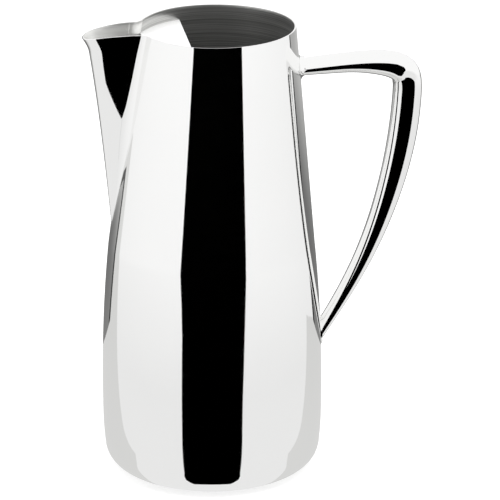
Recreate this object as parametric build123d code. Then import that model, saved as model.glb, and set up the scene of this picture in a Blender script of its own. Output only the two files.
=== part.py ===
from build123d import *
from math import asin, cos, degrees, radians, sin
import os

# Stainless steel water jug. The jug's axis is Z and it stands on Z = 0.
# The handle is on +X, the pouring spout on -X, and the jug is the same either side of Y = 0.

# ---- body, one spun sheet with a folded foot ----
RIM_HEIGHT = 235.0
MOUTH_RADIUS = 41.2
BELLY_RADIUS = 57.0
BELLY_HEIGHT = 38.0
CORNER_RADIUS = 12.0
CORNER_INSET = 1.0
CORNER_FLARE = 0.12
TAPER_START_HEIGHT = 120.0
TAPER_START_RADIUS = BELLY_RADIUS - 3.9
WALL = 0.9
FOOT_FLAT_RADIUS = BELLY_RADIUS - CORNER_INSET - CORNER_RADIUS
FOOT_INNER_RADIUS = FOOT_FLAT_RADIUS - 5.0

# The round mouth leans toward the handle, and its front is drawn in between the spout seams.
MOUTH_SHIFT = 2.0
MOUTH_DRAW_IN = 1.9
DRAW_IN_ANGLE = 75.0
DRAW_IN_RAMP = 45.0

# ---- base disc and its weld ----
BASE_DISC_RADIUS = FOOT_FLAT_RADIUS - 0.6
BASE_DISC_THICKNESS = 0.9
BASE_WELD_WIDTH = 1.5

# ---- spout, a pressed channel with a curled lip ----
MOUTH_FRONT_REACH = MOUTH_RADIUS - MOUTH_SHIFT - MOUTH_DRAW_IN
FRONT_SLOPE = (MOUTH_FRONT_REACH - TAPER_START_RADIUS) / (RIM_HEIGHT - TAPER_START_HEIGHT)
SPOUT_TOE_RISE = 10.0
SPOUT_TOE_SINK = 0.3
SPOUT_TOE_HEIGHT = TAPER_START_HEIGHT + SPOUT_TOE_RISE
SPOUT_TOE_REACH = TAPER_START_RADIUS + FRONT_SLOPE * SPOUT_TOE_RISE - SPOUT_TOE_SINK
SPOUT_RISE_REACH = 9.2
SPOUT_SWEEP_REACH = 3.0
SPOUT_CURL_REACH = 4.4
SPOUT_CURL_START = 0.9
SPOUT_TOE_NOSE = 1.5
SPOUT_LIP_NOSE = 9.7
SPOUT_TOE_ANGLE = 64.0
SPOUT_LIP_ANGLE = 18.0
SPOUT_CHEEK_RADIUS = 80.0
SPOUT_ROOT_DEPTH = 8.0
SPOUT_RIM_BACK = MOUTH_FRONT_REACH - SPOUT_ROOT_DEPTH
SPOUT_WALL = WALL
SPOUT_STATIONS = 20
LIP_DROP = 3.6
SEAM_BEAD = 0.8

# ---- ice guard, a flat plate across the spout side of the mouth ----
GUARD_DEPTH = 7.0
GUARD_THICKNESS = 1.2
GUARD_EDGE_X = -11.5
GUARD_BACK_X = 7.2 - MOUTH_RADIUS
GUARD_BEAD = 1.0

# ---- handle, two pressed halves that meet on Y = 0 ----
HANDLE_BAR_DEPTH = 22.4
HANDLE_TOE_HEIGHT = 59.0
HANDLE_BAR_HEIGHT = RIM_HEIGHT - HANDLE_BAR_DEPTH
HANDLE_DROP = HANDLE_BAR_HEIGHT - HANDLE_TOE_HEIGHT
HANDLE_REACH = BELLY_RADIUS + 43.9
HANDLE_ROOT_X = MOUTH_RADIUS + MOUTH_SHIFT - 4.2
HANDLE_TOE_X = BELLY_RADIUS - 6.5
HANDLE_WIDTH = 15.6
HANDLE_TOE_WIDTH = 11.0
HANDLE_ROOT_THICKNESS = 7.6
HANDLE_BAR_THICKNESS = 9.4
HANDLE_GRIP_THICKNESS = 15.0
HANDLE_TOE_THICKNESS = 6.0
HANDLE_WALL = 1.2
HANDLE_BEAD = 1.0
HANDLE_STATIONS = 25

BIG = 400.0
os.makedirs("parts", exist_ok=True)


def smooth(value):
    """An S-shaped ramp from 0 to 1."""
    clipped = min(max(value, 0.0), 1.0)
    return clipped * clipped * (3.0 - 2.0 * clipped)


# ---------------------------------------------------------------- body
def mouth_point(radius, angle, height):
    """A point on the mouth's outline, at an angle from the spout direction about its own centre."""
    reach = radius - MOUTH_DRAW_IN * smooth((DRAW_IN_ANGLE - abs(angle)) / DRAW_IN_RAMP)
    return Vector(MOUTH_SHIFT - reach * cos(radians(angle)), reach * sin(radians(angle)), height)


def waist_outline(radius, height):
    """A round outline, split where the mouth's outline is split."""
    x = -radius * cos(radians(DRAW_IN_ANGLE))
    y = radius * sin(radians(DRAW_IN_ANGLE))
    first = Vector(x, y, height)
    last = Vector(x, -y, height)
    back = ThreePointArc(first, Vector(radius, 0, height), last)
    front = ThreePointArc(last, Vector(-radius, 0, height), first)
    return make_face(Wire([back, front]))


def mouth_outline(radius, height):
    """The mouth's outline: round on the handle side, drawn in a little on the spout side."""
    first = mouth_point(radius, DRAW_IN_ANGLE, height)
    last = mouth_point(radius, -DRAW_IN_ANGLE, height)
    back = ThreePointArc(first, Vector(MOUTH_SHIFT + radius, 0, height), last)
    points = [mouth_point(radius, DRAW_IN_ANGLE * step / 16, height) for step in range(-16, 17)]
    front = Spline(points)
    return make_face(Wire([back, front]))


def body_solid(offset):
    """The body's outer form, grown outward by offset, as a filled solid."""
    side = BELLY_RADIUS - CORNER_INSET + offset
    corner = CORNER_RADIUS + offset
    centre_z = CORNER_RADIUS
    low = (0, centre_z - corner)
    foot = (side - corner, centre_z - corner)
    rise = (side, centre_z)
    middle = (side - corner + corner * cos(radians(45)), centre_z - corner * sin(radians(45)))
    slope = (MOUTH_RADIUS - TAPER_START_RADIUS) / (RIM_HEIGHT - TAPER_START_HEIGHT)
    top = (TAPER_START_RADIUS + offset, TAPER_START_HEIGHT)
    outline = [
        Line(low, foot),
        ThreePointArc(foot, middle, rise),
        Spline([rise, (BELLY_RADIUS + offset, BELLY_HEIGHT), top], tangents=[(CORNER_FLARE, 1), (slope, 1)]),
        Line(top, (0, TAPER_START_HEIGHT)),
        Line((0, TAPER_START_HEIGHT), low),
    ]
    lower = revolve(Plane.XZ * make_face(Wire(outline)), Axis.Z)
    waist = waist_outline(TAPER_START_RADIUS + offset, TAPER_START_HEIGHT)
    mouth = mouth_outline(MOUTH_RADIUS + offset, RIM_HEIGHT)
    upper = loft([waist, mouth], ruled=True)
    return lower + upper


# ---------------------------------------------------------------- spout
def spout_section(rise, offset):
    """A level U-shaped outline of the spout, at a fraction of the way from its toe to the rim."""
    curl = max((rise - SPOUT_CURL_START) / (1 - SPOUT_CURL_START), 0.0) ** 1.5
    reach = SPOUT_TOE_REACH + SPOUT_RISE_REACH * rise + SPOUT_SWEEP_REACH * rise**3
    reach = reach + SPOUT_CURL_REACH * curl
    nose = SPOUT_TOE_NOSE + (SPOUT_LIP_NOSE - SPOUT_TOE_NOSE) * rise
    angle = SPOUT_LIP_ANGLE + (SPOUT_TOE_ANGLE - SPOUT_LIP_ANGLE) * (1 - rise) ** 1.6
    height = SPOUT_TOE_HEIGHT + (RIM_HEIGHT - SPOUT_TOE_HEIGHT) * rise
    nose_x = nose - reach
    back = TAPER_START_RADIUS + FRONT_SLOPE * (height - TAPER_START_HEIGHT) - SPOUT_ROOT_DEPTH
    cheek_x = nose_x + (SPOUT_CHEEK_RADIUS - nose) * sin(radians(angle))
    cheek_y = -(SPOUT_CHEEK_RADIUS - nose) * cos(radians(angle))
    cheek_radius = SPOUT_CHEEK_RADIUS + offset
    back_angle = degrees(asin((cheek_x + back) / cheek_radius))
    points = []
    for turn in (back_angle, (back_angle + angle) / 2, angle):
        x = cheek_x - cheek_radius * sin(radians(turn))
        y = cheek_y + cheek_radius * cos(radians(turn))
        points.append((x, y))
    back_left, cheek_left, turn_left = [Vector(x, y, height) for x, y in points]
    back_right, cheek_right, turn_right = [Vector(x, -y, height) for x, y in points]
    tip = Vector(nose_x - nose - offset, 0, height)
    edges = [
        ThreePointArc(back_left, cheek_left, turn_left),
        ThreePointArc(turn_left, tip, turn_right),
        ThreePointArc(turn_right, cheek_right, back_right),
        Line(back_right, back_left),
    ]
    return make_face(Wire(edges))


def spout_solid(offset):
    """The spout's outer form as a filled solid, from the toe to above the rim."""
    sections = [spout_section(step / SPOUT_STATIONS, offset) for step in range(SPOUT_STATIONS + 1)]
    return loft(sections)


# ---------------------------------------------------------------- handle
def handle_path():
    """The handle's centreline: a level bar, a tight shoulder and a long swept leg."""
    points = [
        Vector(HANDLE_ROOT_X, 0, HANDLE_BAR_HEIGHT - 1.4),
        Vector(HANDLE_REACH * 0.62, 0, HANDLE_BAR_HEIGHT + 0.2),
        Vector(HANDLE_REACH * 0.84, 0, HANDLE_BAR_HEIGHT + 0.1),
        Vector(HANDLE_REACH * 0.985, 0, HANDLE_BAR_HEIGHT - 5.6),
        Vector(HANDLE_REACH, 0, HANDLE_BAR_HEIGHT - 17.0),
        Vector(HANDLE_REACH * 0.94, 0, HANDLE_BAR_HEIGHT - HANDLE_DROP * 0.378),
        Vector(HANDLE_REACH * 0.76, 0, HANDLE_BAR_HEIGHT - HANDLE_DROP * 0.71),
        Vector(HANDLE_TOE_X, 0, HANDLE_TOE_HEIGHT),
    ]
    return Spline(points)


def handle_size(place):
    """Thickness and width of the handle at a fraction of its length."""
    shoulder = smooth((place - 0.12) / 0.18)
    toe = smooth((place - 0.36) / 0.64)
    bar = HANDLE_ROOT_THICKNESS + (HANDLE_BAR_THICKNESS - HANDLE_ROOT_THICKNESS) * smooth(place / 0.15)
    thick = bar + (HANDLE_GRIP_THICKNESS - HANDLE_BAR_THICKNESS) * shoulder
    thick = thick + (HANDLE_TOE_THICKNESS - HANDLE_GRIP_THICKNESS) * toe
    width = HANDLE_WIDTH + (HANDLE_TOE_WIDTH - HANDLE_WIDTH) * toe
    return thick, width


def handle_section(path, place, offset):
    """A rounded outline across the handle, widest toward its outer side."""
    thick, width = handle_size(place)
    half_thick = thick / 2 + offset
    half_width = width / 2 + offset
    centre = path @ place
    along = path % place
    plane = Plane(origin=centre, x_dir=Vector(0, 1, 0), z_dir=along)
    side = 1.0 if plane.y_dir.dot(Vector(-along.Z, 0, along.X)) > 0 else -1.0
    shape = [(0, 1.0), (0.6, 0.86), (0.93, 0.48), (1.0, 0.05), (0.88, -0.42), (0.56, -0.88), (0, -1.0)]
    shape = shape + [(-x, y) for x, y in reversed(shape[1:-1])]
    points = [Vector(x * half_width, side * y * half_thick) for x, y in shape]
    return plane * make_face(Wire([Spline(points, periodic=True)]))


def handle_solid(offset):
    """The handle's outer form as a filled solid, with its ends inside the body wall."""
    path = handle_path()
    sections = [handle_section(path, step / HANDLE_STATIONS, offset) for step in range(HANDLE_STATIONS + 1)]
    return loft(sections)


# ---------------------------------------------------------------- pieces
body_outer = body_solid(0)
body_inner = body_solid(-WALL)
spout_outer = spout_solid(0)
spout_inner = spout_solid(-SPOUT_WALL)
handle_outer = handle_solid(0)

# The spun body: open at the mouth, folded in at the foot, slit where the spout opens into it.
foot_hole = Pos(0, 0, WALL) * Cylinder(FOOT_INNER_RADIUS, 4 * WALL)
body_shell = body_outer - body_inner - foot_hole - spout_inner
export_step(body_shell, "parts/body_shell.step")

# The base disc lies on the folded foot and is welded round its edge.
base_disc = Pos(0, 0, WALL + BASE_DISC_THICKNESS / 2) * Cylinder(BASE_DISC_RADIUS, BASE_DISC_THICKNESS)
export_step(base_disc, "parts/base_disc.step")

weld_top = WALL + BASE_DISC_THICKNESS
weld_outline = Polyline(
    (BASE_DISC_RADIUS, WALL),
    (BASE_DISC_RADIUS, weld_top),
    (BASE_DISC_RADIUS + BASE_WELD_WIDTH, WALL + BASE_DISC_THICKNESS * 0.45),
    (BASE_DISC_RADIUS, WALL),
)
base_weld = revolve(Plane.XZ * make_face(weld_outline), Axis.Z)
export_step(base_weld, "parts/base_weld.step")

# The spout stands outside the body. Its top edge falls away from the rim to the tip.
lip_line = Spline(
    [(-SPOUT_RIM_BACK, RIM_HEIGHT), (-SPOUT_TOE_REACH, RIM_HEIGHT - 0.25 * LIP_DROP),
     (-SPOUT_TOE_REACH - 15, RIM_HEIGHT - LIP_DROP)],
    tangents=[(-1, 0), (-1, -0.3)],
)
lip_far = Vector(-SPOUT_TOE_REACH - 40, RIM_HEIGHT - LIP_DROP - 7.5)
lip_outline = [
    lip_line,
    Line(lip_line @ 1, lip_far),
    Line(lip_far, (lip_far.X, RIM_HEIGHT + 50)),
    Line((lip_far.X, RIM_HEIGHT + 50), (-SPOUT_RIM_BACK, RIM_HEIGHT + 50)),
    Line((-SPOUT_RIM_BACK, RIM_HEIGHT + 50), lip_line @ 0),
]
lip_cut = extrude(Plane.XZ * make_face(Wire(lip_outline)), BIG / 4, both=True)
spout = spout_outer - spout_inner - body_outer - lip_cut
export_step(spout, "parts/spout.step")

# Polished weld beads along the two spout seams.
seam_zone = body_solid(SEAM_BEAD) & spout_solid(SEAM_BEAD)
seam_beads = seam_zone - body_outer - spout_outer - lip_cut
for name, side in (("left", -1), ("right", 1)):
    half = Pos(0, side * BIG / 2, BIG / 2) * Box(BIG, BIG, BIG)
    export_step(seam_beads & half, f"parts/spout_weld_{name}.step")

# The ice guard fills the spout side of the mouth just below the rim.
guard_z = RIM_HEIGHT - GUARD_DEPTH - GUARD_THICKNESS / 2
guard_length = GUARD_EDGE_X - GUARD_BACK_X
guard_slab = Pos((GUARD_EDGE_X + GUARD_BACK_X) / 2, 0, guard_z) * Box(guard_length, BIG, GUARD_THICKNESS)
ice_guard = guard_slab & body_inner
export_step(ice_guard, "parts/ice_guard.step")

bead_z = guard_z - (GUARD_THICKNESS + GUARD_BEAD) / 2
bead_slab = Pos((GUARD_EDGE_X + GUARD_BACK_X) / 2, 0, bead_z) * Box(guard_length, BIG, GUARD_BEAD)
guard_beads = (bead_slab & body_inner) - body_solid(-WALL - GUARD_BEAD) - spout_inner
for name, side in (("left", -1), ("right", 1)):
    half = Pos(0, side * BIG / 2, BIG / 2) * Box(BIG, BIG, BIG)
    export_step(guard_beads & half, f"parts/guard_weld_{name}.step")

# The handle's two hollow halves butt against the body and meet on Y = 0.
handle_shell = handle_outer - handle_solid(-HANDLE_WALL) - body_outer
handle_right = handle_shell & Pos(0, BIG / 2, BIG / 2) * Box(BIG, BIG, BIG)
export_step(handle_right, "parts/handle_right.step")
export_step(mirror(handle_right, about=Plane.XZ), "parts/handle_left.step")

# Weld fillets where the handle meets the body, each made as one side and its mirror image.
handle_beads = (body_solid(HANDLE_BEAD) & handle_solid(HANDLE_BEAD)) - body_outer - handle_outer
for name, height in (("upper", 0.75 * RIM_HEIGHT), ("lower", 0.25 * RIM_HEIGHT)):
    bead_side = handle_beads & Pos(0, BIG / 2, height) * Box(BIG, BIG, RIM_HEIGHT / 2)
    export_step(bead_side + mirror(bead_side, about=Plane.XZ), f"parts/handle_weld_{name}.step")
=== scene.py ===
from math import cos, pi, radians, sin

import bpy
import numpy as np
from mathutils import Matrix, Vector


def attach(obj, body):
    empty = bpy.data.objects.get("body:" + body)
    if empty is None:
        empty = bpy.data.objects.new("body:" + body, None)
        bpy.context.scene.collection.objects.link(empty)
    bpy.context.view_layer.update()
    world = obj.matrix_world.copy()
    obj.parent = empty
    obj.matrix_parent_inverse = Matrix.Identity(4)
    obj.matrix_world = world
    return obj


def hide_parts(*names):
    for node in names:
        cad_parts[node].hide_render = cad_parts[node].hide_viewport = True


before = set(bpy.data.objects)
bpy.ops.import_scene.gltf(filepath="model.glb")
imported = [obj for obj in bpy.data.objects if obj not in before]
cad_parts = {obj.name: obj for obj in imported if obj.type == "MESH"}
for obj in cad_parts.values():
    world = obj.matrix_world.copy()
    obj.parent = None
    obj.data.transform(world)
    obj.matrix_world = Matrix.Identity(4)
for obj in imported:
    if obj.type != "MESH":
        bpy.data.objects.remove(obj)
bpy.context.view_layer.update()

# ---------------------------------------------------------------- camera and studio
# The jug stands on a pale table in a white tent. One tall dark card bends round the camera's side,
# because polished steel needs something dark to mirror before it shows its shape.
VIEW_TURN = radians(7.7)
VIEW_RISE = radians(19.42)
VIEW_RANGE = 1.8
aim = Vector((0.0196, -0.0027, 0.1153))

camera_data = bpy.data.cameras.new("camera")
camera_data.sensor_width = 36.0
camera_data.lens = 251.6
camera = bpy.data.objects.new("camera", camera_data)
bpy.context.collection.objects.link(camera)
back = Vector((-sin(VIEW_TURN) * cos(VIEW_RISE), -cos(VIEW_TURN) * cos(VIEW_RISE), sin(VIEW_RISE)))
camera.location = aim + back * VIEW_RANGE
camera.rotation_euler = (-back).to_track_quat("-Z", "Y").to_euler()
bpy.context.scene.camera = camera
bpy.context.scene.view_settings.view_transform = "Standard"

tent = bpy.data.worlds.new("tent")
tent.use_nodes = True
tent_where = tent.node_tree.nodes.new("ShaderNodeTexCoord")
tent_split = tent.node_tree.nodes.new("ShaderNodeSeparateXYZ")
tent_fade = tent.node_tree.nodes.new("ShaderNodeMapRange")
tent_fade.inputs["From Min"].default_value = -0.34
tent_fade.inputs["From Max"].default_value = -0.08
tent_fade.inputs["To Min"].default_value = 0.84
tent_fade.inputs["To Max"].default_value = 1.0
tent.node_tree.links.new(tent_where.outputs["Generated"], tent_split.inputs["Vector"])
tent.node_tree.links.new(tent_split.outputs["Z"], tent_fade.inputs["Value"])
tent.node_tree.links.new(tent_fade.outputs["Result"], tent.node_tree.nodes["Background"].inputs["Color"])
tent.node_tree.nodes["Background"].inputs["Strength"].default_value = 1.0
bpy.context.scene.world = tent

bpy.ops.object.select_all(action="DESELECT")
bpy.ops.object.light_add(type="AREA", location=(0.3, -0.2, 1.5), rotation=(0, 0, 0))
overhead = bpy.context.object
overhead.name = "overhead"
overhead.data.shape = "DISK"
overhead.data.size = 1.2
overhead.data.energy = 9.0
overhead.visible_glossy = False

bpy.ops.object.select_all(action="DESELECT")
bpy.ops.mesh.primitive_circle_add(vertices=128, radius=6.0, fill_type="NGON", location=(0, 0, -0.0002))
table = bpy.context.object
table.name = "table"
table.visible_glossy = False
table_white = bpy.data.materials.new("table_white")
table_white.use_nodes = True
table_white.node_tree.nodes["Principled BSDF"].inputs["Base Color"].default_value = (0.6, 0.6, 0.6, 1)
table_white.node_tree.nodes["Principled BSDF"].inputs["Emission Color"].default_value = (1.0, 1.0, 1.0, 1)
table_white.node_tree.nodes["Principled BSDF"].inputs["Emission Strength"].default_value = 0.6
table_white.node_tree.nodes["Principled BSDF"].inputs["Roughness"].default_value = 0.9
table_white.node_tree.nodes["Principled BSDF"].inputs["Specular IOR Level"].default_value = 0.0
table.data.materials.append(table_white)

CARD_RANGE = 2.4
CARD_LOW = -5.0
CARD_HIGH = 1.5
# Each side edge is a list of heights in metres and the degrees off the camera's direction there.
CARD_LEFT_HEIGHTS = [-0.85, -0.45, -0.25]
CARD_LEFT_DEGREES = [30.7, 30.0, 33.0]
CARD_RIGHT_HEIGHTS = [-3.0, -0.85, -0.45, -0.25]
CARD_RIGHT_DEGREES = [31.0, 32.0, 35.2, 38.0]
bpy.ops.object.select_all(action="DESELECT")
bpy.ops.mesh.primitive_grid_add(x_subdivisions=24, y_subdivisions=45, size=1.0)
card = bpy.context.object
card.name = "dark_card"
for vertex in card.data.vertices:
    rise = CARD_LOW + (vertex.co.y + 0.5) * (CARD_HIGH - CARD_LOW)
    turn_left = np.interp(rise, CARD_LEFT_HEIGHTS, CARD_LEFT_DEGREES)
    turn_right = np.interp(rise, CARD_RIGHT_HEIGHTS, CARD_RIGHT_DEGREES)
    turn = radians(float(np.interp(vertex.co.x, [-0.5, 0.5], [-turn_left, turn_right]))) - pi / 2 - VIEW_TURN
    vertex.co = (CARD_RANGE * cos(turn), CARD_RANGE * sin(turn), rise)
card.visible_camera = False
card.visible_diffuse = False
card.visible_shadow = False
card_black = bpy.data.materials.new("card_black")
card_black.use_nodes = True
card_black.node_tree.nodes["Principled BSDF"].inputs["Base Color"].default_value = (0.0, 0.0, 0.0, 1)
card_black.node_tree.nodes["Principled BSDF"].inputs["Roughness"].default_value = 1.0
card_black.node_tree.nodes["Principled BSDF"].inputs["Specular IOR Level"].default_value = 0.0
card.data.materials.append(card_black)

# Painted reflections: glowing patches lie a hair above the table. The camera doesn't see them and they light
# nothing,
# so only the steel mirrors them: pale grey near the jug, darker grey farther off and dark strips at the
# sides.
# Corners are in metres, to the camera's right and away from it.
NEAR_REFLECTION_PATCH = [(-0.075, -0.04), (-1.0, 0.6), (-1.0, 0.743), (-0.225, 0.165), (0.24, 0.165), (0.3, 0.122),
             (0.075, -0.04)]
FAR_REFLECTION_PATCH = [(-0.22, 0.165), (-1.7, 1.28), (-1.7, 3.0), (1.7, 3.0), (1.7, 1.28), (0.22, 0.165)]
LEFT_DARK_REFLECTION_STRIP = [(-0.20, 0.165), (-1.55, 1.28), (-1.72, 1.28), (-0.225, 0.165)]
RIGHT_DARK_REFLECTION_STRIP = [(0.20, 0.165), (1.55, 1.28), (1.72, 1.28), (0.225, 0.165)]
# Each patch is a painted reflection. Its grey glow varies at random through noise, and only the steel's
# mirror shows it.
for painted_patch_name, corners, lift, low_tone, high_tone in (
        ("painted_reflection_near", NEAR_REFLECTION_PATCH, 0.0001, 0.66, 0.72), ("painted_reflection_far", FAR_REFLECTION_PATCH, 0.0001, 0.16, 0.52),
        ("painted_dark_reflection_left", LEFT_DARK_REFLECTION_STRIP, 0.0002, 0.02, 0.12), ("painted_dark_reflection_right", RIGHT_DARK_REFLECTION_STRIP, 0.0002, 0.01, 0.08)):
    bpy.ops.object.select_all(action="DESELECT")
    bpy.ops.mesh.primitive_circle_add(vertices=len(corners), radius=1.0, fill_type="NGON")
    painted_patch = bpy.context.object
    painted_patch.name = painted_patch_name
    for vertex, (right, away) in zip(painted_patch.data.vertices, corners):
        vertex.co = (right * cos(VIEW_TURN) + away * sin(VIEW_TURN),
                     -right * sin(VIEW_TURN) + away * cos(VIEW_TURN), lift)
    painted_patch.visible_camera = False
    painted_patch.visible_diffuse = False
    painted_patch.visible_shadow = False
    painted_reflection_glow = bpy.data.materials.new(painted_patch_name + "_grey")
    painted_reflection_glow.use_nodes = True
    nodes, links = painted_reflection_glow.node_tree.nodes, painted_reflection_glow.node_tree.links
    glow = nodes["Principled BSDF"]
    glow.inputs["Base Color"].default_value = (0.0, 0.0, 0.0, 1)
    glow.inputs["Specular IOR Level"].default_value = 0.0
    spot = nodes.new("ShaderNodeTexCoord")
    bands = nodes.new("ShaderNodeTexNoise")
    bands.inputs["Scale"].default_value = 1.1
    bands.inputs["Detail"].default_value = 0.0
    links.new(spot.outputs["Object"], bands.inputs["Vector"])
    level = nodes.new("ShaderNodeMapRange")
    level.inputs["From Min"].default_value = 0.35
    level.inputs["From Max"].default_value = 0.65
    level.inputs["To Min"].default_value = low_tone
    level.inputs["To Max"].default_value = high_tone
    links.new(bands.outputs["Fac"], level.inputs["Value"])
    # Painted reflection: this glow strength sets the grey that the steel mirrors. The patch is no lamp.
    links.new(level.outputs["Result"], glow.inputs["Emission Strength"])
    glow.inputs["Emission Color"].default_value = (1.0, 1.0, 0.99, 1)
    painted_patch.data.materials.append(painted_reflection_glow)

# ---------------------------------------------------------------- body
# One spun stainless steel sheet, 0.9 mm thick: folded foot, rounded corner, belly, straight taper.
# Its round mouth leans toward the handle and it is polished to a mirror outside, spun-brushed inside.
MM = 0.001
RIM_HEIGHT = 235.0
MOUTH_RADIUS = 41.2
MOUTH_SHIFT = 2.0
TAPER_START_HEIGHT = 120.0
TAPER_START_RADIUS = 53.1
CORNER_RADIUS = 12.0
CORNER_SIDE = 56.0
CORNER_FLARE = 0.12
BELLY_RADIUS = 57.0
BELLY_HEIGHT = 38.0
BELLY_FLARE = 0.004
FOOT_INNER_RADIUS = 39.0
MOUTH_DRAW_IN = 1.9
DRAW_IN_END = radians(75)
DRAW_IN_SPAN = radians(45)
WALL = 0.9


def smooth(value):
    """An S-shaped ramp from 0 to 1."""
    clipped = np.clip(value, 0.0, 1.0)
    return clipped * clipped * (3.0 - 2.0 * clipped)


def hermite(height, low, high, radius_low, radius_high, slope_low, slope_high):
    """A smooth side line between two heights, with a slope at each end."""
    span = high - low
    t = (height - low) / span
    return (radius_low * (2 * t**3 - 3 * t**2 + 1) + radius_high * (3 * t**2 - 2 * t**3)
            + span * slope_low * (t**3 - 2 * t**2 + t) + span * slope_high * (t**3 - t**2))


def side_radius(height):
    """The body's outer radius at a height above its rounded corner."""
    slope = (MOUTH_RADIUS - TAPER_START_RADIUS) / (RIM_HEIGHT - TAPER_START_HEIGHT)
    taper = TAPER_START_RADIUS + slope * (height - TAPER_START_HEIGHT)
    low = hermite(height, CORNER_RADIUS, BELLY_HEIGHT, CORNER_SIDE, BELLY_RADIUS,
                  CORNER_FLARE, BELLY_FLARE)
    high = hermite(height, BELLY_HEIGHT, TAPER_START_HEIGHT, BELLY_RADIUS, TAPER_START_RADIUS,
                   BELLY_FLARE, slope)
    return np.where(height < BELLY_HEIGHT, low, np.where(height < TAPER_START_HEIGHT, high, taper))


def body_reach(turn, height):
    """The body's outer reach at an angle from the spout direction; the mouth leans to the handle."""
    rise = np.clip((height - TAPER_START_HEIGHT) / (RIM_HEIGHT - TAPER_START_HEIGHT), 0.0, 1.0)
    shift = MOUTH_SHIFT * rise
    radius = side_radius(height)
    across, along = np.sin(turn), np.cos(turn)
    reach = np.sqrt(radius**2 - (shift * across) ** 2) - shift * along
    about = np.arctan2(reach * np.abs(across), reach * along + shift)
    radius = radius - MOUTH_DRAW_IN * rise * smooth((DRAW_IN_END - about) / DRAW_IN_SPAN)
    return np.sqrt(radius**2 - (shift * across) ** 2) - shift * along


# The spout is part of the same skin, because its seams are welded and polished flush.
SPOUT_TOE_HEIGHT = 130.0
SPOUT_TOE_REACH = 51.4
SPOUT_RISE_REACH = 9.2
SPOUT_SWEEP_REACH = 3.0
SPOUT_CURL_REACH = 4.4
SPOUT_CURL_START = 0.9
SPOUT_TOE_NOSE = 1.5
SPOUT_NOSE_GROWTH = 8.2
SPOUT_LIP_ANGLE = 18.0
SPOUT_ANGLE_SPAN = 46.0
SPOUT_ANGLE_POWER = 1.9
SPOUT_BACK = 30.0
CHEEK_RADIUS = 80.0


def spout_form(height):
    """Reach, nose radius and cheek angle of the spout's level outline."""
    rise = np.clip((height - SPOUT_TOE_HEIGHT) / (RIM_HEIGHT - SPOUT_TOE_HEIGHT), 0.0, 1.0)
    curl = np.clip((rise - SPOUT_CURL_START) / 0.1, 0.0, 1.0) ** 1.5
    reach = SPOUT_TOE_REACH + SPOUT_RISE_REACH * rise + SPOUT_SWEEP_REACH * rise**3 + SPOUT_CURL_REACH * curl
    nose = SPOUT_TOE_NOSE + SPOUT_NOSE_GROWTH * rise
    cheek = np.radians(SPOUT_LIP_ANGLE + SPOUT_ANGLE_SPAN * (1.0 - rise) ** SPOUT_ANGLE_POWER)
    return reach, nose, cheek


def outside_spout(x, y, height):
    """Distance outside the spout's level outline, with x measured toward the spout."""
    reach, nose, cheek = spout_form(height)
    along = x - (reach - nose)
    across = np.abs(y)
    on_nose = along * np.cos(cheek) > across * np.sin(cheek)
    far_along = along + (CHEEK_RADIUS - nose) * np.sin(cheek)
    far_across = across + (CHEEK_RADIUS - nose) * np.cos(cheek)
    beside = np.where(on_nose, np.hypot(along, across) - nose,
                      np.hypot(far_along, far_across) - CHEEK_RADIUS)
    return np.maximum(beside, SPOUT_BACK - x)


SEAM_BLEND_LOW = 0.6
SEAM_BLEND_GROWTH = 2.8
SEAM_GROWTH_HEIGHT = 60.0
SEARCH_REACH = 40.0
SEARCH_STEPS = 34


def skin_reach(turn, height):
    """The joined outer radius of body and spout, with a soft hollow along the seam."""
    low = body_reach(turn, height) - 0.01
    blend = SEAM_BLEND_LOW + SEAM_BLEND_GROWTH * smooth((height - SPOUT_TOE_HEIGHT) / SEAM_GROWTH_HEIGHT)
    high = low + SEARCH_REACH
    for _ in range(SEARCH_STEPS):
        middle = (low + high) / 2
        to_body = (middle - body_reach(turn, height)) * 0.99
        to_spout = outside_spout(middle * np.cos(turn), middle * np.sin(turn), height)
        gap = np.maximum(blend - np.abs(to_body - to_spout), 0.0)
        joined = np.minimum(to_body, to_spout) - gap * gap / (4 * blend)
        inside = joined < 0
        low = np.where(inside, middle, low)
        high = np.where(inside, high, middle)
    return (low + high) / 2


SPOUT_COLUMNS = 30
SEAM_COLUMNS = 8
CHEEK_COLUMNS = 16
BACK_COLUMNS = 76
CHEEK_TURN = radians(60)
TOE = 131.6
OUTLINE_POINTS = 900
SEAM_LEAST = 0.9
SEAM_HALF_LOW = 0.4
SEAM_HALF_GROWTH = 3.6


def level_outline(height):
    """One side of a level outline, from the spout's ridge round to the handle, split at the seam."""
    turn = np.linspace(0.0, CHEEK_TURN, OUTLINE_POINTS)
    reach = skin_reach(turn, np.full_like(turn, height))
    x, y = reach * np.cos(turn), reach * np.sin(turn)
    run = np.concatenate([[0.0], np.cumsum(np.hypot(np.diff(x), np.diff(y)))])
    level = max(height, TOE)
    on_spout = outside_spout(x, y, level) < (np.hypot(x, y) - body_reach(turn, level))
    seam = run[on_spout].max() if on_spout.any() else SEAM_LEAST
    seam = max(seam, SEAM_LEAST)
    growth = float(smooth((level - TOE) / SEAM_GROWTH_HEIGHT))
    half = min(0.45 * seam, SEAM_HALF_LOW + SEAM_HALF_GROWTH * growth)
    stops = np.concatenate([
        np.linspace(0.0, seam - half, SPOUT_COLUMNS + 1)[:-1],
        np.linspace(seam - half, seam + half, SEAM_COLUMNS + 1)[:-1],
        np.linspace(seam + half, run[-1], CHEEK_COLUMNS + 1),
    ])
    front = np.interp(stops, run, turn)
    rear = np.linspace(CHEEK_TURN, pi, BACK_COLUMNS + 1)[1:]
    turns = np.concatenate([front, rear])
    reaches = skin_reach(turns, np.full_like(turns, height))
    return -reaches * np.cos(turns), reaches * np.sin(turns)


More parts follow.
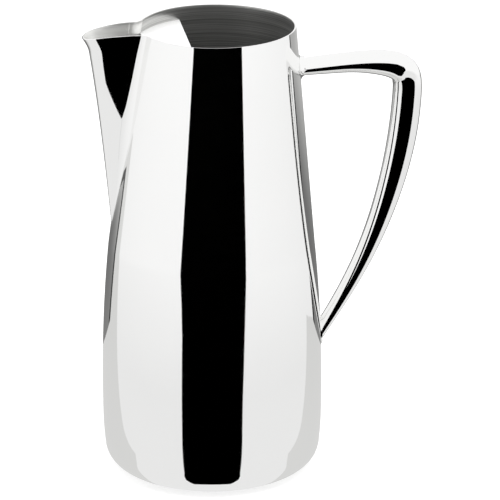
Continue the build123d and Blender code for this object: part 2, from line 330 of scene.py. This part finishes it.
LOW_LEVELS = 113
HIGH_LEVELS = 231
levels = np.concatenate([np.linspace(CORNER_RADIUS, TAPER_START_HEIGHT, LOW_LEVELS)[:-1],
                         np.linspace(TAPER_START_HEIGHT, RIM_HEIGHT, HIGH_LEVELS)])
outlines = [level_outline(level) for level in levels]
outline_x = np.array([outline[0] for outline in outlines])
outline_y = np.array([outline[1] for outline in outlines])

# The rim falls toward the spout's lip, more and more steeply, and the metal below follows it down.
LIP_DROP = 3.6
LIP_FALL_START = 30.0
LIP_FALL_SPAN = 36.4
LIP_FALL_POWER = 2.3
LIP_BEND_HEIGHT = 200.0
top_fall = np.clip((-outline_x[-1] - LIP_FALL_START) / LIP_FALL_SPAN, 0.0, None) ** LIP_FALL_POWER * LIP_DROP
SPOUT_END = SPOUT_COLUMNS
SEAM_END = SPOUT_COLUMNS + SEAM_COLUMNS
LAST_COLUMN = SEAM_END + CHEEK_COLUMNS + BACK_COLUMNS


def skin_point(column, height):
    """A point on the outer skin. Columns run from the ridge, negative on the near side."""
    lift = np.clip((height - LIP_BEND_HEIGHT) / (RIM_HEIGHT - LIP_BEND_HEIGHT), 0.0, 1.0)
    line = abs(int(column))
    true_height = height - lift * top_fall[line]
    x = np.interp(true_height, levels, outline_x[:, line])
    y = np.interp(true_height, levels, outline_y[:, line])
    return x, y if column > 0 else -y, true_height


def face_outward(sheet):
    """Turn an open sheet's faces away from the jug's upright middle line."""
    outward = 0.0
    for face in sheet.data.polygons:
        away = Vector((face.center.x, face.center.y, 0.0))
        outward += face.normal.dot(away) * face.area
    if outward < 0:
        bpy.ops.object.mode_set(mode="EDIT")
        bpy.ops.mesh.select_all(action="SELECT")
        bpy.ops.mesh.flip_normals()
        bpy.ops.object.mode_set(mode="OBJECT")


def laid_sheet(name, across, up, place):
    """A grid laid onto a form, as one sheet of metal."""
    bpy.ops.object.select_all(action="DESELECT")
    bpy.ops.mesh.primitive_grid_add(x_subdivisions=across, y_subdivisions=up, size=1.0)
    sheet = bpy.context.object
    sheet.name = name
    sheet.data.name = name
    for vertex in sheet.data.vertices:
        spot = place(round((vertex.co.x + 0.5) * across), round((vertex.co.y + 0.5) * up))
        vertex.co = Vector(spot) * MM
    bpy.ops.object.mode_set(mode="EDIT")
    bpy.ops.mesh.select_all(action="SELECT")
    bpy.ops.mesh.remove_doubles(threshold=0.000001)
    bpy.ops.mesh.normals_make_consistent(inside=False)
    bpy.ops.object.mode_set(mode="OBJECT")
    face_outward(sheet)
    return sheet


def give_finish(piece, *finishes):
    """Give a piece its metal finishes, outside first."""
    piece.data.materials.clear()
    for finish in finishes:
        piece.data.materials.append(finish)


FLUSH_REACH = 0.05


def thicken(sheet, wall, skin, edge=0.16, core=None):
    """Give a sheet its wall, inward, ease its cut edges and polish it flush with the whole skin."""
    solid = sheet.modifiers.new("wall", "SOLIDIFY")
    solid.thickness = wall * MM
    solid.offset = -1.0
    solid.use_even_offset = True
    solid.material_offset = 1
    solid.material_offset_rim = 0
    bpy.ops.object.modifier_apply(modifier="wall")
    ease = sheet.modifiers.new("edge", "BEVEL")
    ease.width = edge * MM
    ease.segments = 2
    ease.limit_method = "ANGLE"
    ease.angle_limit = radians(55)
    bpy.ops.object.modifier_apply(modifier="edge")
    if core:
        trim = sheet.modifiers.new("trim", "BOOLEAN")
        trim.operation = "DIFFERENCE"
        trim.object = core
        bpy.ops.object.modifier_apply(modifier="trim")
    bpy.ops.object.shade_smooth_by_angle(angle=radians(32))
    flush = sheet.modifiers.new("flush", "DATA_TRANSFER")
    flush.object = skin
    flush.use_loop_data = True
    flush.data_types_loops = {"CUSTOM_NORMAL"}
    flush.loop_mapping = "POLYINTERP_NEAREST"
    flush.use_max_distance = True
    flush.max_distance = FLUSH_REACH * MM
    bpy.ops.object.modifier_apply(modifier="flush")


def polished_steel(name, tint=0.955, haze=0.03):
    """Mirror-polished stainless steel with faint polishing haze and hairline wipe marks."""
    steel = bpy.data.materials.new(name)
    steel.use_nodes = True
    nodes, links = steel.node_tree.nodes, steel.node_tree.links
    shader = nodes["Principled BSDF"]
    shader.inputs["Metallic"].default_value = 1.0
    where = nodes.new("ShaderNodeTexCoord")
    cloud = nodes.new("ShaderNodeTexNoise")
    cloud.inputs["Scale"].default_value = 22.0
    cloud.inputs["Detail"].default_value = 4.0
    links.new(where.outputs["Object"], cloud.inputs["Vector"])
    tone = nodes.new("ShaderNodeMapRange")
    tone.inputs["To Min"].default_value = tint - 0.02
    tone.inputs["To Max"].default_value = tint + 0.015
    links.new(cloud.outputs["Fac"], tone.inputs["Value"])
    colour = nodes.new("ShaderNodeCombineColor")
    links.new(tone.outputs["Result"], colour.inputs["Red"])
    links.new(tone.outputs["Result"], colour.inputs["Green"])
    cool = nodes.new("ShaderNodeMath")
    cool.operation = "MULTIPLY"
    cool.inputs[1].default_value = 0.994
    links.new(tone.outputs["Result"], cool.inputs[0])
    links.new(cool.outputs["Value"], colour.inputs["Blue"])
    links.new(colour.outputs["Color"], shader.inputs["Base Color"])
    wipe = nodes.new("ShaderNodeTexNoise")
    wipe.inputs["Scale"].default_value = 60.0
    wipe.inputs["Detail"].default_value = 6.0
    stretch = nodes.new("ShaderNodeMapping")
    stretch.inputs["Scale"].default_value = (1.0, 1.0, 6.0)
    links.new(where.outputs["Object"], stretch.inputs["Vector"])
    links.new(stretch.outputs["Vector"], wipe.inputs["Vector"])
    rough = nodes.new("ShaderNodeMapRange")
    rough.inputs["From Min"].default_value = 0.35
    rough.inputs["From Max"].default_value = 0.75
    rough.inputs["To Min"].default_value = haze
    rough.inputs["To Max"].default_value = haze + 0.025
    links.new(wipe.outputs["Fac"], rough.inputs["Value"])
    links.new(rough.outputs["Result"], shader.inputs["Roughness"])
    bump = nodes.new("ShaderNodeBump")
    bump.inputs["Strength"].default_value = 0.012
    bump.inputs["Distance"].default_value = 0.0005
    links.new(wipe.outputs["Fac"], bump.inputs["Height"])
    links.new(bump.outputs["Normal"], shader.inputs["Normal"])
    return steel


def spun_steel(name, dark=0.34, light=0.74):
    """Brushed stainless steel with fine level rings left by spinning."""
    steel = bpy.data.materials.new(name)
    steel.use_nodes = True
    nodes, links = steel.node_tree.nodes, steel.node_tree.links
    shader = nodes["Principled BSDF"]
    shader.inputs["Metallic"].default_value = 0.88
    where = nodes.new("ShaderNodeTexCoord")
    rings = nodes.new("ShaderNodeMapping")
    rings.inputs["Scale"].default_value = (6.0, 6.0, 900.0)
    links.new(where.outputs["Object"], rings.inputs["Vector"])
    grain = nodes.new("ShaderNodeTexNoise")
    grain.inputs["Scale"].default_value = 2.0
    grain.inputs["Detail"].default_value = 5.0
    links.new(rings.outputs["Vector"], grain.inputs["Vector"])
    tone = nodes.new("ShaderNodeValToRGB")
    tone.color_ramp.elements[0].position = 0.3
    tone.color_ramp.elements[0].color = (dark, dark, dark * 0.98, 1)
    tone.color_ramp.elements[1].position = 0.7
    tone.color_ramp.elements[1].color = (light, light, light * 0.98, 1)
    links.new(grain.outputs["Fac"], tone.inputs["Fac"])
    links.new(tone.outputs["Color"], shader.inputs["Base Color"])
    rough = nodes.new("ShaderNodeMapRange")
    rough.inputs["To Min"].default_value = 0.26
    rough.inputs["To Max"].default_value = 0.42
    links.new(grain.outputs["Fac"], rough.inputs["Value"])
    links.new(rough.outputs["Result"], shader.inputs["Roughness"])
    bump = nodes.new("ShaderNodeBump")
    bump.inputs["Strength"].default_value = 0.25
    bump.inputs["Distance"].default_value = 0.0002
    links.new(grain.outputs["Fac"], bump.inputs["Height"])
    links.new(bump.outputs["Normal"], shader.inputs["Normal"])
    return steel


LOW_ROWS = 62
HIGH_ROWS = 60
low_rows = np.linspace(CORNER_RADIUS, TOE, LOW_ROWS)
high_rows = np.linspace(TOE, RIM_HEIGHT, HIGH_ROWS)
FOOT_ROWS = 3
CORNER_ROWS = 10


def lower_body_spot(column, row):
    """The body below the spout's toe: folded foot, rounded corner and belly, all the way round."""
    column = column - LAST_COLUMN
    if row < FOOT_ROWS:
        reach = FOOT_INNER_RADIUS + (CORNER_SIDE - CORNER_RADIUS - FOOT_INNER_RADIUS) * row / FOOT_ROWS
        height = 0.0
    elif row < FOOT_ROWS + CORNER_ROWS:
        turn = radians(90) * (row - FOOT_ROWS) / CORNER_ROWS
        reach = CORNER_SIDE - CORNER_RADIUS + CORNER_RADIUS * sin(turn)
        height = CORNER_RADIUS - CORNER_RADIUS * cos(turn)
    else:
        return skin_point(column, low_rows[row - FOOT_ROWS - CORNER_ROWS])
    x, y, _ = skin_point(column, CORNER_RADIUS)
    scale = reach / CORNER_SIDE
    return x * scale, y * scale, height


def cheek_spot(column, row):
    """The body above the spout's toe, from one seam round the handle side to the other."""
    count = LAST_COLUMN - SEAM_END
    line = SEAM_END + column if column <= count else -(LAST_COLUMN - (column - count))
    return skin_point(line, high_rows[row])


def whole_spot(column, row):
    """The whole outer skin in one sheet, from the foot to the rim and round both seams."""
    if row < lower_rows:
        return lower_body_spot(column, row)
    return skin_point(column - LAST_COLUMN, high_rows[row - lower_rows])


lower_rows = FOOT_ROWS + CORNER_ROWS + len(low_rows) - 1
whole = laid_sheet("whole_skin", 2 * LAST_COLUMN, lower_rows + len(high_rows) - 1, whole_spot)
bpy.ops.object.shade_smooth()
body = laid_sheet("body", 2 * LAST_COLUMN, lower_rows, lower_body_spot)
upper_body = laid_sheet("upper_body", 2 * (LAST_COLUMN - SEAM_END), len(high_rows) - 1, cheek_spot)
bpy.ops.object.select_all(action="DESELECT")
upper_body.select_set(True)
body.select_set(True)
bpy.context.view_layer.objects.active = body
bpy.ops.object.join()
bpy.ops.object.mode_set(mode="EDIT")
bpy.ops.mesh.select_all(action="SELECT")
bpy.ops.mesh.remove_doubles(threshold=0.00002)
bpy.ops.mesh.normals_make_consistent(inside=False)
bpy.ops.object.mode_set(mode="OBJECT")
mirror_steel = polished_steel("mirror_steel")
brushed_inside = spun_steel("brushed_inside")
give_finish(body, mirror_steel, brushed_inside)
thicken(body, WALL, whole)
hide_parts("body_shell")
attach(body, "root")

# ---------------------------------------------------------------- base disc and its weld
# A flat disc of stainless steel sheet that closes the jug, laid on the body's folded foot.
# A ring of weld inside the jug joins its edge to the body.
base_steel = spun_steel("base_steel", 0.56, 0.80)
for name in ("base_disc", "base_weld"):
    give_finish(bpy.data.objects[name], base_steel)

# ---------------------------------------------------------------- spout
# A pressed U-shaped channel of the same sheet with a curled lip, mirror-polished outside and
# satin inside. It is welded down both edges and the beads are ground and polished.
satin_inside = spun_steel("satin_inside", 0.78, 0.88)


def spout_spot(column, row):
    """The spout, from its near seam over the ridge to its far seam."""
    return skin_point(column - SPOUT_END, high_rows[row])


spout = laid_sheet("spout_channel", 2 * SPOUT_END, len(high_rows) - 1, spout_spot)
give_finish(spout, mirror_steel, satin_inside)
thicken(spout, WALL, whole)
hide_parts("spout")
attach(spout, "root")

for side_name, side in (("left", -1), ("right", 1)):
    def seam_spot(column, row):
        line = SPOUT_END + column
        x, y, height = skin_point(line, high_rows[row])
        return x, side * abs(y), height

    seam = laid_sheet("seam_" + side_name, SEAM_COLUMNS, len(high_rows) - 1, seam_spot)
    give_finish(seam, mirror_steel, satin_inside)
    thicken(seam, WALL, whole)
    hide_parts("spout_weld_" + side_name)
    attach(seam, "root")

bpy.ops.object.select_all(action="DESELECT")
whole.select_set(True)
bpy.context.view_layer.objects.active = whole
bpy.ops.object.delete()

# ---------------------------------------------------------------- ice guard
# A flat stainless steel plate across the spout side of the mouth, which holds back ice when pouring.
# It sits just below the rim, has a satin finish, and is held by a bead of weld under each end.
guard_steel = polished_steel("guard_steel", 0.97, 0.42)
guard_steel.node_tree.nodes["Principled BSDF"].inputs["Metallic"].default_value = 0.2
for name in ("ice_guard", "guard_weld_left", "guard_weld_right"):
    give_finish(bpy.data.objects[name], guard_steel)

# ---------------------------------------------------------------- handle
# Two pressed hollow halves, seam-welded on the jug's middle plane and polished flush.
# A polished weld fillet spreads the upper end onto the body; a small one closes the lower end.
HANDLE_REACH = 100.9
HANDLE_WALL = 1.2
HANDLE_BEAD = 3.2
ROOT_THICKNESS = 7.6
BAR_GROWTH = 1.8
GRIP_GROWTH = 5.6
TOE_THINNING = 9.0
BAR_WIDTH = 16.6
GRIP_NARROWING = 3.4
TOE_NARROWING = 2.6
handle_line = np.array([
    (39.0, 211.2),
    (HANDLE_REACH * 0.62, 212.8),
    (HANDLE_REACH * 0.84, 212.7),
    (HANDLE_REACH * 0.985, 207.0),
    (HANDLE_REACH, 195.6),
    (HANDLE_REACH * 0.94, 154.54),
    (HANDLE_REACH * 0.76, 103.54),
    (50.5, 59.0),
])
BAR_SECTION = [(0, 1.0), (0.5, 0.866), (0.866, 0.5), (1.0, 0.0), (0.866, -0.5), (0.5, -0.866), (0, -1.0)]
GRIP_SECTION = [(0, 1.0), (0.54, 0.92), (0.88, 0.69), (1.0, 0.33), (0.88, -0.39), (0.54, -0.84), (0, -1.0)]
LENGTH_STEPS = 220
HALF_STEPS = 34


def curve_through(points, places, closed=False):
    """Points on a smooth curve through a list of points, at fractions of its length."""
    points = np.array(points, dtype=float)
    if closed:
        points = np.vstack([points, points, points, points[:1]])
    gaps = np.hypot(np.diff(points[:, 0]), np.diff(points[:, 1]))
    stops = np.concatenate([[0.0], np.cumsum(gaps)])
    if closed:
        third = stops[-1] / 3.0
        where = third + np.array(places) * third
    else:
        where = np.array(places) * stops[-1]
    count = len(points)
    grid = np.eye(count)
    slopes = np.zeros((count, 2))
    for i in range(1, count - 1):
        grid[i, i - 1] = gaps[i - 1]
        grid[i, i] = 2 * (gaps[i - 1] + gaps[i])
        grid[i, i + 1] = gaps[i]
        slopes[i] = 6 * ((points[i + 1] - points[i]) / gaps[i] - (points[i] - points[i - 1]) / gaps[i - 1])
    bends = np.linalg.solve(grid, slopes)
    piece = np.clip(np.searchsorted(stops, where) - 1, 0, count - 2)
    before = (where - stops[piece])[:, None]
    gap = gaps[piece][:, None]
    after = gap - before
    return (bends[piece] * after**3 / (6 * gap) + bends[piece + 1] * before**3 / (6 * gap)
            + (points[piece] / gap - bends[piece] * gap / 6) * after
            + (points[piece + 1] / gap - bends[piece + 1] * gap / 6) * before)


half_rings = []
for section in (BAR_SECTION, GRIP_SECTION):
    ring = section + [(-x, y) for x, y in reversed(section[1:-1])]
    half_rings.append(curve_through(ring, np.linspace(0.0, 0.5, HALF_STEPS + 1), closed=True))
handle_middle = curve_through(handle_line, np.linspace(0.0, 1.0, LENGTH_STEPS + 1))
handle_along = np.gradient(handle_middle, axis=0)
handle_along = handle_along / np.hypot(handle_along[:, 0], handle_along[:, 1])[:, None]


def handle_spot(column, row, spread=0.0):
    """A point on the handle's skin; columns run round the section from its outer line and back."""
    place = row / LENGTH_STEPS
    toe = smooth((place - 0.36) / 0.64)
    bar = ROOT_THICKNESS + BAR_GROWTH * smooth(place / 0.15)
    thick = bar + GRIP_GROWTH * smooth((place - 0.12) / 0.18) - TOE_THINNING * toe
    width = BAR_WIDTH - GRIP_NARROWING * smooth((place - 0.262) / 0.036) - TOE_NARROWING * toe
    turn = smooth((place - 0.25) / 0.045)
    across, outward = half_rings[0][abs(column)] * (1 - turn) + half_rings[1][abs(column)] * turn
    across = across * (width / 2 + spread) * (1 if column >= 0 else -1)
    outward = outward * (thick / 2 + spread)
    x = handle_middle[row, 0] - handle_along[row, 1] * outward
    z = handle_middle[row, 1] + handle_along[row, 0] * outward
    return x, across, z


def whole_handle_spot(column, row):
    """The whole handle in one sheet."""
    return handle_spot(column - HALF_STEPS, row)


def right_handle_spot(column, row):
    """The half of the handle on the far side of the jug's middle plane."""
    return handle_spot(column, row)


def left_handle_spot(column, row):
    """The half of the handle on the near side of the jug's middle plane."""
    x, y, z = handle_spot(column, row)
    return x, -y, z


def face_off_line(sheet):
    """Turn the handle's faces away from its centreline."""
    outward = 0.0
    for face in sheet.data.polygons:
        gaps = handle_middle * MM - np.array([face.center.x, face.center.z])
        nearest = handle_middle[np.argmin((gaps**2).sum(axis=1))] * MM
        away = Vector((face.center.x - nearest[0], face.center.y, face.center.z - nearest[1]))
        outward += face.normal.dot(away) * face.area
    if outward < 0:
        bpy.ops.object.mode_set(mode="EDIT")
        bpy.ops.mesh.select_all(action="SELECT")
        bpy.ops.mesh.flip_normals()
        bpy.ops.object.mode_set(mode="OBJECT")


CORE_COLUMNS = 180
CORE_ROWS = 68
CORE_LOW = 30.0
CORE_TALL = 204.0


def core_spot(column, row):
    """A form that ends in the middle of the body's wall, to trim the handle's two ends with."""
    turn = 2 * pi * column / CORE_COLUMNS
    height = CORE_LOW + CORE_TALL * row / CORE_ROWS
    reach = body_reach(turn if turn < pi else 2 * pi - turn, height) - WALL / 2
    return -reach * cos(turn), reach * sin(turn), height


core = laid_sheet("core", CORE_COLUMNS, CORE_ROWS, core_spot)
bpy.ops.object.mode_set(mode="EDIT")
bpy.ops.mesh.select_all(action="SELECT")
bpy.ops.mesh.fill_holes(sides=0)
bpy.ops.mesh.select_all(action="SELECT")
bpy.ops.mesh.normals_make_consistent(inside=False)
bpy.ops.object.mode_set(mode="OBJECT")

handle_steel = polished_steel("handle_steel", 0.95, 0.025)
whole_handle = laid_sheet("whole_handle", 2 * HALF_STEPS, LENGTH_STEPS, whole_handle_spot)
face_off_line(whole_handle)
bpy.ops.object.shade_smooth()
for side_name, spot in (("left", left_handle_spot), ("right", right_handle_spot)):
    half_handle = laid_sheet("handle_half_" + side_name, HALF_STEPS, LENGTH_STEPS, spot)
    face_off_line(half_handle)
    give_finish(half_handle, handle_steel)
    thicken(half_handle, HANDLE_WALL, whole_handle, edge=0.02, core=core)
    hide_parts("handle_" + side_name)
    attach(half_handle, "root")
bpy.ops.object.select_all(action="DESELECT")
core.select_set(True)
whole_handle.select_set(True)
bpy.context.view_layer.objects.active = whole_handle
bpy.ops.object.delete()


FILLET_ROWS = 12
FILLET_STATION = 18
ROOT_STATION = 12
ROOT_REACH = 43.0


def root_fillet_spot(column, row):
    """The upper weld fillet, tangent to the body at its first row and to the handle at its last."""
    away = HANDLE_BEAD * (1.0 - cos(radians(90) * row / FILLET_ROWS))
    spread = HANDLE_BEAD * (1.0 - sin(radians(90) * row / FILLET_ROWS))
    x, y, z = handle_spot(column - HALF_STEPS, FILLET_STATION, spread)
    climb = handle_middle[FILLET_STATION, 1] - handle_middle[ROOT_STATION, 1]
    z = z - climb * (1.0 - away / HANDLE_BEAD)
    wall = body_reach(pi - np.arctan2(abs(y), ROOT_REACH), z)
    return float(np.sqrt(wall**2 - y**2)) - 0.05 + away, y, z


upper_fillet = laid_sheet("handle_fillet_upper", 2 * HALF_STEPS, FILLET_ROWS, root_fillet_spot)
face_off_line(upper_fillet)
give_finish(upper_fillet, handle_steel)
bpy.ops.object.shade_smooth()
fillet_wall = upper_fillet.modifiers.new("wall", "SOLIDIFY")
fillet_wall.thickness = 0.3 * MM
fillet_wall.offset = -1.0
bpy.ops.object.modifier_apply(modifier="wall")
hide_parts("handle_weld_upper")
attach(upper_fillet, "root")
give_finish(bpy.data.objects["handle_weld_lower"], handle_steel)
